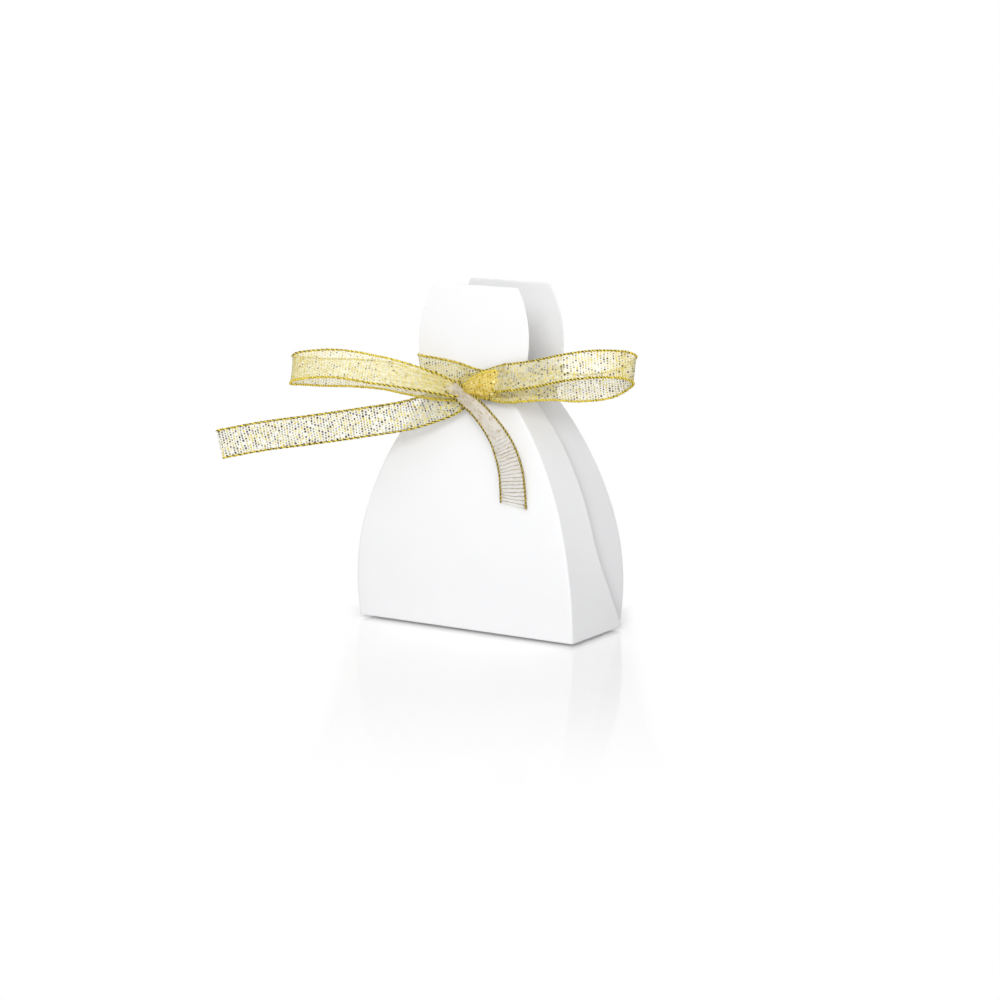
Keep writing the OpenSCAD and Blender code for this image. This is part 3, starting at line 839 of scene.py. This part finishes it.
frontTail = {
    "reach": 17.6, "fall": 39.5, "cutSlant": 1.1, "pitch": 1.3, "fray": (14, 0.8, 9),
    "shares": [[-0.44, 1.25, 0.03, 0.54], [-0.34, 1.55, 0.00, 0.58], [-0.16, 1.34, -0.07, 0.60],
               [0.09, 1.14, -0.15, 0.60], [0.32, 0.97, -0.24, 0.64], [0.60, 0.69, -0.39, 0.76],
               [0.78, 0.49, -0.53, 0.88], [0.92, 0.35, -0.70, 0.95], [0.97, 0.25, -0.85, 0.98],
               [1.00, 0.17, -1.00, 1]],
    # in metres
    "bend": {"body": "front_tail", "start": (0.0015, -0.0215, 0.0865), "end": (0.0015, -0.0215, 0.078)},
    "tints": [(0, 1.0), (0.25, 0.85), (0.45, 0.45), (0.6, 0.1), (1, 0.0)],
    "darkness": [[(0, 1.0), (0.4, 1.0), (1, 0.85)], [(0, 0.9), (0.3, 0.85), (1, 0.95)]],
}


def bendsOut(body, way):
    # the body and the start and end of a bend, bendFrom to bendTo millimetres out of the knot; a stretch
    # given one is baked in place
    return {"body": body, "start": tuple((knotMiddle + way * bow["bendFrom"]) * mm),
            "end": tuple((knotMiddle + way * bow["bendTo"]) * mm)}


makeStretch("rightLoop", tiedLay(bowRows(rightLoop), leanWay), "front_half", ["right_loop"], goldWeave,
            rightLoop, rightLoop["pitch"], bendsOut("right_loop", alongWay))
makeStretch("leftLoop", tiedLay(bowRows(leftLoop), leanWay, phase=0.6), "front_half", ["left_loop"],
            paleWeave, leftLoop, leftLoop["pitch"], bendsOut("left_loop", -alongWay))
makeStretch("leftTail", tiedLay(bowRows(leftTail), leanWay, phase=1.9), "front_half", ["left_tail"],
            openWeave, leftTail, blendTo=bendsOut("left_tail", -alongWay),
            fray=leftTail["fray"])
tailRows = []
for across, clear, up, share in frontTail["shares"]:
    z = knotZ + up * frontTail["fall"]
    y = -(halfDepth(z) + clear * bow["knotDepth"])
    tailRows.append([knotMiddle.x + across * frontTail["reach"], y, z, share, 0, 0])
tailLay = tiedLay(tailRows, Vector((1, 0, 0)), cutSlant=frontTail["cutSlant"], ripple=0.15, pleats=1.0,
                  pleating=0.12)
makeStretch("frontTail", tailLay, "front_half", ["front_tail"], hangWeave, frontTail,
            frontTail["pitch"], frontTail["bend"], frontTail["fray"], oliveSelvedge)

# neck band: follows the panels' own outline all round, drawn in a little behind the knot
band = {"away": 0.3, "steps": 60, "pitch": 2.0, "drawIn": 0.12, "drawInWidth": 7.0, "drawInDrop": 0.8,
        "frontReach": 20, "tints": [(0, 0.05), (1, 0.05)],
        "darkness": [[(0, 0.5), (1, 0.6)], [(0, 0.5), (1, 0.6)]],
        # in metres
        "bend": {"body": "front_half", "start": (0, 0.0135, 0.088), "end": (0, -0.0143, 0.088)}}


def bandLay(start, end):
    steps = band["steps"]

    def pointAt(i, across):
        t = i / steps
        sx, sy = start[0] + (end[0] - start[0]) * t, start[1] + (end[1] - start[1]) * t
        middle = box["bandZ"] - box["bandDrop"] * sx * halfWidth(box["bandZ"]) / box["bodiceWidth"]
        beside = (sx * band["frontReach"] - bow["knotX"]) / band["drawInWidth"]
        near = math.exp(-beside ** 2) if sy < 0 else 0.0
        z = middle + across * ribbon["width"] / 2 * (1 - near * band["drawIn"]) - near * band["drawInDrop"]
        return Vector((sx * (halfWidth(z) + band["away"]), sy * (halfDepth(z) + band["away"]), z))

    length = sum((pointAt(i + 1, 0) - pointAt(i, 0)).length for i in range(steps))
    return pointAt, steps, length


makeStretch("neckBandFront", bandLay((-1, -1), (1, -1)), "front_half", ["neck_band_front"], bandWeave,
            band, band["pitch"])
makeStretch("neckBandRear", bandLay((1, 1), (-1, 1)), "rear_half", ["neck_band_rear"], bandWeave,
            band, band["pitch"])
for word, ends in (("Right", ((1, -1), (1, 1))), ("Left", ((-1, 1), (-1, -1)))):
    makeStretch("neckBand" + word, bandLay(*ends), "rear_half", ["neck_band_" + word.lower()], bandWeave,
                band, band["pitch"], band["bend"])

# knot: the ribbon drawn to a point at the left, fanning out to its full width at the right and folded under
knotFold = {
    "pitch": 1.5, "upWay": (-0.1, 0, 1),
    "rows": [[-4.2, 2.2, -0.2, 0.13, 0, 0.2], [-3.6, 3.1, -0.1, 0.24, 0, 0.5], [-1.6, 4.3, 0.1, 0.48, 0, 1.2],
             [1.4, 5.0, 0.8, 0.74, 0, 1.9], [4.6, 5.1, 1.2, 0.93, 0, 2.3], [7.6, 4.5, 1.4, 1.0, 0, 2.3],
             [9.8, 3.0, 1.5, 1.0, 0, 2.0], [10.4, 1.2, 1.4, 1.0, 0, 2.0], [9.0, -0.2, 1.2, 0.98, 0, 1.6],
             [6.5, -0.8, 0.9, 0.9, 0, 0.6]],
    "tints": [(0, 1.3), (0.15, 1.15), (0.35, 0.8), (0.5, 0.6), (0.62, 0.3), (0.75, 0.2), (1, 0.6)],
    "darkness": [[(0, 0.3), (0.3, 0.2), (0.5, 0.9), (1, 0.6)], [(0, 0.0), (1, 0.0)]],
}
knotRows = [[*bowPlace(a, out, up), share, lean, crown]
            for a, out, up, share, lean, crown in knotFold["rows"]]
knotLay = tiedLay(knotRows, Vector(knotFold["upWay"]).normalized(), pleats=3.0, phase=0.9, ripple=0.0,
                  pleating=0.5)
makeStretch("knotFold", knotLay, "front_half", ["knot"], knotWeave, knotFold,
            knotFold["pitch"])
print("ribbon tied")

# floor, light and camera
studio = {"floor": 6.0, "floorDrop": 0.001, "floorTone": 0.85, "floorGlow": 0.15, "floorRoughness": 0.07,
          "fadeTurn": -31.4, "frontFade": (0.09, 0.23), "sideFade": (0.045, 0.053),
          "backFade": (0.012, 0.035), "world": 0.4, "lightReach": 1.2, "lightAim": (0, 0, 0.07)}
lights = {"keyLight": {"turn": 18, "rise": 29, "size": 0.42, "power": 4.7},
          "fillLight": {"turn": 52, "rise": 10, "size": 0.9, "power": 4.4},
          "topLight": {"turn": 5, "rise": 62, "size": 0.8, "power": 3.2}}
floorMaterial, tree = newMaterial("studioFloor")
coords = addNode(tree, "ShaderNodeTexCoord")
# the shaded and mirroring part of the floor lies round the object and reaches further out in front of it
turnFloor = addNode(tree, "ShaderNodeMapping")
turnFloor.inputs["Rotation"].default_value = (0, 0, math.radians(studio["fadeTurn"]))
tree.links.new(coords.outputs["Object"], turnFloor.inputs["Vector"])
apart = addNode(tree, "ShaderNodeSeparateXYZ")
tree.links.new(turnFloor.outputs[0], apart.inputs[0])
toFront = mathNode(tree, "MULTIPLY", apart.outputs[1], -1.0)
toSide = mathNode(tree, "ABSOLUTE", apart.outputs[0])
fades = []
for reach, limits in ((toFront, "frontFade"), (toSide, "sideFade"), (apart.outputs[1], "backFade")):
    ramp = addNode(tree, "ShaderNodeMapRange", interpolation_type="SMOOTHSTEP")
    ramp.inputs["From Min"].default_value = studio[limits][0]
    ramp.inputs["From Max"].default_value = studio[limits][1]
    tree.links.new(reach, ramp.inputs["Value"])
    fades.append(ramp.outputs[0])
fade = mathNode(tree, "MAXIMUM", mathNode(tree, "MAXIMUM", fades[0], fades[1]), fades[2])
shader = addNode(tree, "ShaderNodeBsdfPrincipled", in_Roughness=studio["floorRoughness"])
white = addNode(tree, "ShaderNodeEmission")
white.inputs["Color"].default_value = (1, 1, 1, 1)
path = addNode(tree, "ShaderNodeLightPath")
shader.inputs["Base Color"].default_value = (*(studio["floorTone"],) * 3, 1)
# the camera sees the floor a little brighter than the light on it makes it
shader.inputs["Emission Color"].default_value = (1, 1, 1, 1)
tree.links.new(mathNode(tree, "MULTIPLY", path.outputs["Is Camera Ray"], studio["floorGlow"]),
               shader.inputs["Emission Strength"])
seen = mathNode(tree, "MULTIPLY", fade, path.outputs["Is Camera Ray"])
blendShader = addNode(tree, "ShaderNodeMixShader")
tree.links.new(seen, blendShader.inputs[0])
tree.links.new(shader.outputs[0], blendShader.inputs[1])
tree.links.new(white.outputs[0], blendShader.inputs[2])
out = addNode(tree, "ShaderNodeOutputMaterial")
tree.links.new(blendShader.outputs[0], out.inputs["Surface"])
bm = bmesh.new()
bmesh.ops.create_grid(bm, x_segments=2, y_segments=2, size=studio["floor"] / 2)
bmesh.ops.translate(bm, verts=bm.verts[:], vec=(0, 0, -studio["floorDrop"]))
floor = toObject("studioFloorPlane", bm, floorMaterial)

world = bpy.data.worlds.new("studioWorld")
bpy.context.scene.world = world
world.use_nodes = True
tree = world.node_tree
tree.nodes.clear()
ambient = addNode(tree, "ShaderNodeBackground", in_Strength=studio["world"])
ambient.inputs["Color"].default_value = (1, 1, 1, 1)
backdrop = addNode(tree, "ShaderNodeBackground", in_Strength=1.0)
backdrop.inputs["Color"].default_value = (1, 1, 1, 1)
path = addNode(tree, "ShaderNodeLightPath")
mixer = addNode(tree, "ShaderNodeMixShader")
out = addNode(tree, "ShaderNodeOutputWorld")
seen = mathNode(tree, "MAXIMUM", path.outputs["Is Camera Ray"], path.outputs["Is Glossy Ray"])
tree.links.new(seen, mixer.inputs[0])
tree.links.new(ambient.outputs[0], mixer.inputs[1])
tree.links.new(backdrop.outputs[0], mixer.inputs[2])
tree.links.new(mixer.outputs[0], out.inputs["Surface"])


def softLight(name, turn, rise, size, power):
    # turn is to the right of straight in front, in degrees
    lamp = bpy.data.lights.new(name, "AREA")
    lamp.shape = "SQUARE"
    lamp.size = size
    lamp.energy = power
    holder = bpy.data.objects.new(name, lamp)
    bpy.context.scene.collection.objects.link(holder)
    a, e = math.radians(turn), math.radians(rise)
    way = Vector((math.sin(a) * math.cos(e), -math.cos(a) * math.cos(e), math.sin(e)))
    holder.location = Vector(studio["lightAim"]) + way * studio["lightReach"]
    holder.rotation_euler = (-way).to_track_quat("-Z", "Y").to_euler()


for name, values in lights.items():
    softLight(name, **values)

camera = {"focal": 100.98, "sensor": 36, "azimuth": 31.447, "pitch": 10.033, "distance": 1.0023,
          "shift": (-0.003083, -0.042918), "roll": 0.487, "clipEnd": 30}
a, p, roll = (math.radians(camera[key]) for key in ("azimuth", "pitch", "roll"))
lookWay = Vector((-math.sin(a) * math.cos(p), math.cos(a) * math.cos(p), -math.sin(p)))
rightWay = Vector((math.cos(a), math.sin(a), 0))
topWay = rightWay.cross(lookWay)
spot = -lookWay * camera["distance"] - rightWay * camera["shift"][0] - topWay * camera["shift"][1]
cameraRight = rightWay * math.cos(roll) + topWay * math.sin(roll)
cameraUp = topWay * math.cos(roll) - rightWay * math.sin(roll)
cameraData = bpy.data.cameras.new("photoCamera")
cameraData.sensor_width = camera["sensor"]
cameraData.lens = camera["focal"]
cameraData.clip_end = camera["clipEnd"]
cameraObject = bpy.data.objects.new("photoCamera", cameraData)
bpy.context.scene.collection.objects.link(cameraObject)
turnMatrix = Matrix((cameraRight, cameraUp, -lookWay)).transposed().to_4x4()
cameraObject.matrix_world = Matrix.Translation(spot) @ turnMatrix
bpy.context.scene.camera = cameraObject
bpy.context.scene.view_settings.view_transform = "Standard"
print("studio set")
